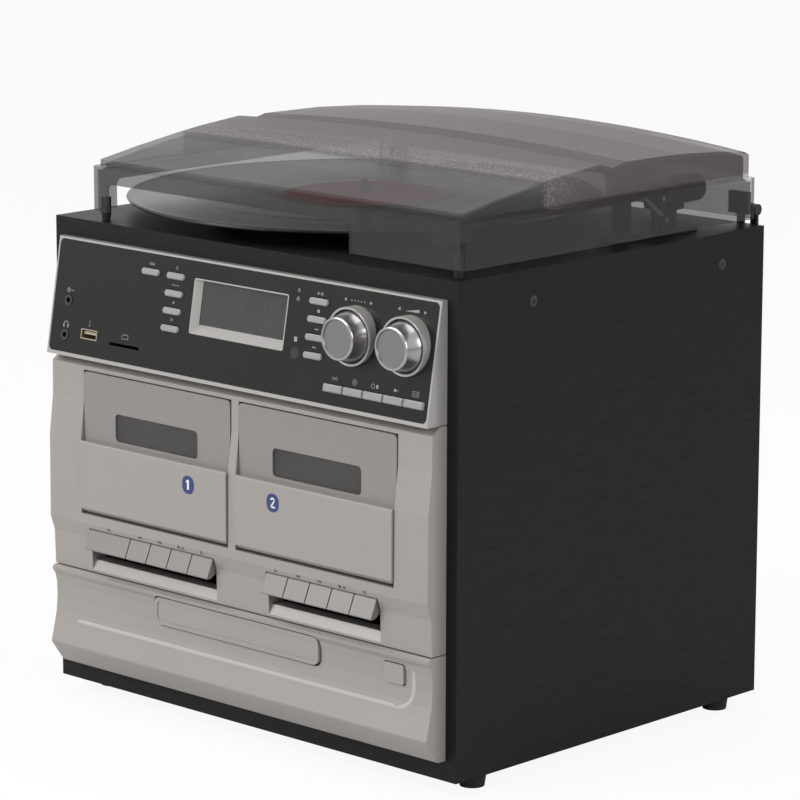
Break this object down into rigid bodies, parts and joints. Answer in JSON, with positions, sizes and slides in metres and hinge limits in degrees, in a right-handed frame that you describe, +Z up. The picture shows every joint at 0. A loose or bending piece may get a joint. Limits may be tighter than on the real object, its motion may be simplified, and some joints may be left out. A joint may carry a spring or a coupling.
{
  "type": "stereo music centre",
  "caption": "Tabletop stereo music centre: wooden cabinet, belt-driven record player under a tinted cover, cassette decks, disc drawer, display panel with knobs.",
  "frame": {"origin": "centre of the bounding box in plan, at the underside of the feet", "axes": "+X to the right seen from the front, front faces -Y, +Z up"},
  "size_m": [0.3662, 0.32, 0.3684],
  "materials": {
    "vinyl_board": "black wood grain vinyl",
    "rear_board": "plain black board",
    "rubber": "matt",
    "black_metal": "satin black",
    "silver_trim": "satin silver paint",
    "gloss_black": "gloss",
    "display_glass": "gloss",
    "black_plastic": "matt",
    "silver_panel": "silver grey paint",
    "circuit": "lacquered",
    "steel": "brushed",
    "brass": "turned",
    "record_vinyl": "grooved gloss",
    "smoked_cover": "smoke tinted clear",
    "clear_window": "tinted clear",
    "knob_metal": "satin silver with a brushed face",
    "button_plastic": "satin",
    "key_plastic": "satin silver grey"
  },
  "bodies": {
    "cabinet": {"base_board": "vinyl_board", "side_panels": "vinyl_board", "top_board": "vinyl_board", "front_baffle": "vinyl_board", "rear_panel": "rear_board", "feet": "rubber", "panel_screws": "black_metal", "display_frame": "silver_trim", "display_fascia": "gloss_black", "display_windows": "display_glass", "sockets": "black_plastic", "cassette_fascia": "silver_panel", "cd_fascia": "silver_panel", "play_mechanisms": "black_plastic", "circuit_boards": "circuit", "platter_motor": "steel", "drive_belt": "rubber", "arm_base": "black_plastic", "hinge_brackets": "black_metal"},
    "platter_unit": {"platter": "black_plastic", "record": "record_vinyl"},
    "motor_pulley": {"motor_pulley": "brass"},
    "arm_yoke": {"arm_yoke": "steel"},
    "tonearm": {"tonearm": "black_plastic"},
    "cue_lever": {"cue_lever": "black_plastic"},
    "cover": {"dust_cover": "smoked_cover", "hinge_leaves": "black_metal", "cover_buffers": "rubber"},
    "door_1": {"door_1": "silver_panel", "window_1": "clear_window"},
    "door_2": {"door_2": "silver_panel", "window_2": "clear_window"},
    "cd_tray": {"cd_tray": "silver_panel"},
    "eject_button": {"eject_button": "silver_panel"},
    "tuning_knob": {"tuning_knob": "knob_metal"},
    "volume_knob": {"volume_knob": "knob_metal"},
    "menu_button": {"menu_button": "button_plastic"},
    "left_button_1": {"left_button_1": "button_plastic"},
    "left_button_2": {"left_button_2": "button_plastic"},
    "left_button_3": {"left_button_3": "button_plastic"},
    "left_button_4": {"left_button_4": "button_plastic"},
    "right_button_1": {"right_button_1": "button_plastic"},
    "right_button_2": {"right_button_2": "button_plastic"},
    "right_button_3": {"right_button_3": "button_plastic"},
    "right_button_4": {"right_button_4": "button_plastic"},
    "function_button_1": {"function_button_1": "button_plastic"},
    "function_button_2": {"function_button_2": "button_plastic"},
    "function_button_3": {"function_button_3": "button_plastic"},
    "function_button_4": {"function_button_4": "button_plastic"},
    "function_button_5": {"function_button_5": "button_plastic"},
    "deck_1_key_1": {"deck_1_key_1": "key_plastic"},
    "deck_1_key_2": {"deck_1_key_2": "key_plastic"},
    "deck_1_key_3": {"deck_1_key_3": "key_plastic"},
    "deck_1_key_4": {"deck_1_key_4": "key_plastic"},
    "deck_1_key_5": {"deck_1_key_5": "key_plastic"},
    "deck_2_key_1": {"deck_2_key_1": "key_plastic"},
    "deck_2_key_2": {"deck_2_key_2": "key_plastic"},
    "deck_2_key_3": {"deck_2_key_3": "key_plastic"},
    "deck_2_key_4": {"deck_2_key_4": "key_plastic"},
    "deck_2_key_5": {"deck_2_key_5": "key_plastic"}
  },
  "joints": [
    {"name": "platter_spin", "type": "hinge", "parent": "cabinet", "child": "platter_unit", "pos_m": [-0.03238, 0.00924, 0.3116], "axis": [0, 0, 1], "continuous": true},
    {"name": "pulley_spin", "type": "hinge", "parent": "cabinet", "child": "motor_pulley", "pos_m": [-0.09791, -0.03664, 0.3116], "axis": [0, 0, 1], "continuous": true},
    {"name": "arm_swing", "type": "hinge", "parent": "cabinet", "child": "arm_yoke", "pos_m": [0.14263, 0.09424, 0.3094], "axis": [0, 0, -1], "range_deg": [0, 46]},
    {"name": "arm_lift", "type": "hinge", "parent": "arm_yoke", "child": "tonearm", "pos_m": [0.14263, 0.09424, 0.332], "axis": [-1, 0, 0], "range_deg": [0, 4]},
    {"name": "cue_lift", "type": "hinge", "parent": "cabinet", "child": "cue_lever", "pos_m": [0.15762, 0.07424, 0.3184], "axis": [1, 0, 0], "range_deg": [0, 35]},
    {"name": "cover_hinge", "type": "hinge", "parent": "cabinet", "child": "cover", "pos_m": [0.00962, 0.14564, 0.3184], "axis": [-1, 0, 0], "range_deg": [0, 65]},
    {"name": "door_1_hinge", "type": "hinge", "parent": "cabinet", "child": "door_1", "pos_m": [-0.05887, -0.14836, 0.1292], "axis": [1, 0, 0], "range_deg": [0, 32]},
    {"name": "door_2_hinge", "type": "hinge", "parent": "cabinet", "child": "door_2", "pos_m": [0.08013, -0.14836, 0.1292], "axis": [1, 0, 0], "range_deg": [0, 32]},
    {"name": "cd_tray_slide", "type": "slide", "parent": "cabinet", "child": "cd_tray", "axis": [0, -1, 0], "range_m": [0, 0.125]},
    {"name": "eject_press", "type": "slide", "parent": "cabinet", "child": "eject_button", "axis": [0, 1, 0], "range_m": [0, 0.0015], "stiffness_N_per_m": 200},
    {"name": "tuning_turn", "type": "hinge", "parent": "cabinet", "child": "tuning_knob", "pos_m": [0.10792, -0.15999, 0.2696], "axis": [0, 1, 0], "continuous": true},
    {"name": "volume_turn", "type": "hinge", "parent": "cabinet", "child": "volume_knob", "pos_m": [0.15132, -0.15999, 0.2696], "axis": [0, 1, 0], "range_deg": [-140, 140]},
    {"name": "menu_press", "type": "slide", "parent": "cabinet", "child": "menu_button", "axis": [0, 0.9853, -0.1711], "range_m": [0, 0.0008], "stiffness_N_per_m": 150},
    {"name": "left_1_press", "type": "slide", "parent": "cabinet", "child": "left_button_1", "axis": [0, 0.9853, -0.1711], "range_m": [0, 0.0008], "stiffness_N_per_m": 150},
    {"name": "left_2_press", "type": "slide", "parent": "cabinet", "child": "left_button_2", "axis": [0, 0.9853, -0.1711], "range_m": [0, 0.0008], "stiffness_N_per_m": 150},
    {"name": "left_3_press", "type": "slide", "parent": "cabinet", "child": "left_button_3", "axis": [0, 0.9853, -0.1711], "range_m": [0, 0.0008], "stiffness_N_per_m": 150},
    {"name": "left_4_press", "type": "slide", "parent": "cabinet", "child": "left_button_4", "axis": [0, 0.9853, -0.1711], "range_m": [0, 0.0008], "stiffness_N_per_m": 150},
    {"name": "right_1_press", "type": "slide", "parent": "cabinet", "child": "right_button_1", "axis": [0, 0.9853, -0.1711], "range_m": [0, 0.0008], "stiffness_N_per_m": 150},
    {"name": "right_2_press", "type": "slide", "parent": "cabinet", "child": "right_button_2", "axis": [0, 0.9853, -0.1711], "range_m": [0, 0.0008], "stiffness_N_per_m": 150},
    {"name": "right_3_press", "type": "slide", "parent": "cabinet", "child": "right_button_3", "axis": [0, 0.9853, -0.1711], "range_m": [0, 0.0008], "stiffness_N_per_m": 150},
    {"name": "right_4_press", "type": "slide", "parent": "cabinet", "child": "right_button_4", "axis": [0, 0.9853, -0.1711], "range_m": [0, 0.0008], "stiffness_N_per_m": 150},
    {"name": "function_1_press", "type": "slide", "parent": "cabinet", "child": "function_button_1", "axis": [0, 0.9853, -0.1711], "range_m": [0, 0.0008], "stiffness_N_per_m": 150},
    {"name": "function_2_press", "type": "slide", "parent": "cabinet", "child": "function_button_2", "axis": [0, 0.9853, -0.1711], "range_m": [0, 0.0008], "stiffness_N_per_m": 150},
    {"name": "function_3_press", "type": "slide", "parent": "cabinet", "child": "function_button_3", "axis": [0, 0.9853, -0.1711], "range_m": [0, 0.0008], "stiffness_N_per_m": 150},
    {"name": "function_4_press", "type": "slide", "parent": "cabinet", "child": "function_button_4", "axis": [0, 0.9853, -0.1711], "range_m": [0, 0.0008], "stiffness_N_per_m": 150},
    {"name": "function_5_press", "type": "slide", "parent": "cabinet", "child": "function_button_5", "axis": [0, 0.9853, -0.1711], "range_m": [0, 0.0008], "stiffness_N_per_m": 150},
    {"name": "deck_1_key_1_press", "type": "hinge", "parent": "cabinet", "child": "deck_1_key_1", "pos_m": [-0.05887, -0.11176, 0.1082], "axis": [1, 0, 0], "range_deg": [0, 8], "stiffness_Nm_per_rad": 0.2, "springref_deg": -2.86},
    {"name": "deck_1_key_2_press", "type": "hinge", "parent": "cabinet", "child": "deck_1_key_2", "pos_m": [-0.05887, -0.11176, 0.1082], "axis": [1, 0, 0], "range_deg": [0, 8], "stiffness_Nm_per_rad": 0.2, "springref_deg": -2.86},
    {"name": "deck_1_key_3_press", "type": "hinge", "parent": "cabinet", "child": "deck_1_key_3", "pos_m": [-0.05887, -0.11176, 0.1082], "axis": [1, 0, 0], "range_deg": [0, 8], "stiffness_Nm_per_rad": 0.2, "springref_deg": -2.86},
    {"name": "deck_1_key_4_press", "type": "hinge", "parent": "cabinet", "child": "deck_1_key_4", "pos_m": [-0.05887, -0.11176, 0.1082], "axis": [1, 0, 0], "range_deg": [0, 8], "stiffness_Nm_per_rad": 0.2, "springref_deg": -2.86},
    {"name": "deck_1_key_5_press", "type": "hinge", "parent": "cabinet", "child": "deck_1_key_5", "pos_m": [-0.05887, -0.11176, 0.1082], "axis": [1, 0, 0], "range_deg": [0, 8], "stiffness_Nm_per_rad": 0.2, "springref_deg": -2.86},
    {"name": "deck_2_key_1_press", "type": "hinge", "parent": "cabinet", "child": "deck_2_key_1", "pos_m": [0.08013, -0.11176, 0.1082], "axis": [1, 0, 0], "range_deg": [0, 8], "stiffness_Nm_per_rad": 0.2, "springref_deg": -2.86},
    {"name": "deck_2_key_2_press", "type": "hinge", "parent": "cabinet", "child": "deck_2_key_2", "pos_m": [0.08013, -0.11176, 0.1082], "axis": [1, 0, 0], "range_deg": [0, 8], "stiffness_Nm_per_rad": 0.2, "springref_deg": -2.86},
    {"name": "deck_2_key_3_press", "type": "hinge", "parent": "cabinet", "child": "deck_2_key_3", "pos_m": [0.08013, -0.11176, 0.1082], "axis": [1, 0, 0], "range_deg": [0, 8], "stiffness_Nm_per_rad": 0.2, "springref_deg": -2.86},
    {"name": "deck_2_key_4_press", "type": "hinge", "parent": "cabinet", "child": "deck_2_key_4", "pos_m": [0.08013, -0.11176, 0.1082], "axis": [1, 0, 0], "range_deg": [0, 8], "stiffness_Nm_per_rad": 0.2, "springref_deg": -2.86},
    {"name": "deck_2_key_5_press", "type": "hinge", "parent": "cabinet", "child": "deck_2_key_5", "pos_m": [0.08013, -0.11176, 0.1082], "axis": [1, 0, 0], "range_deg": [0, 8], "stiffness_Nm_per_rad": 0.2, "springref_deg": -2.86}
  ],
  "couplings": [
    {"joint": "pulley_spin", "follows": "platter_spin", "ratio": 10.333}
  ]
}
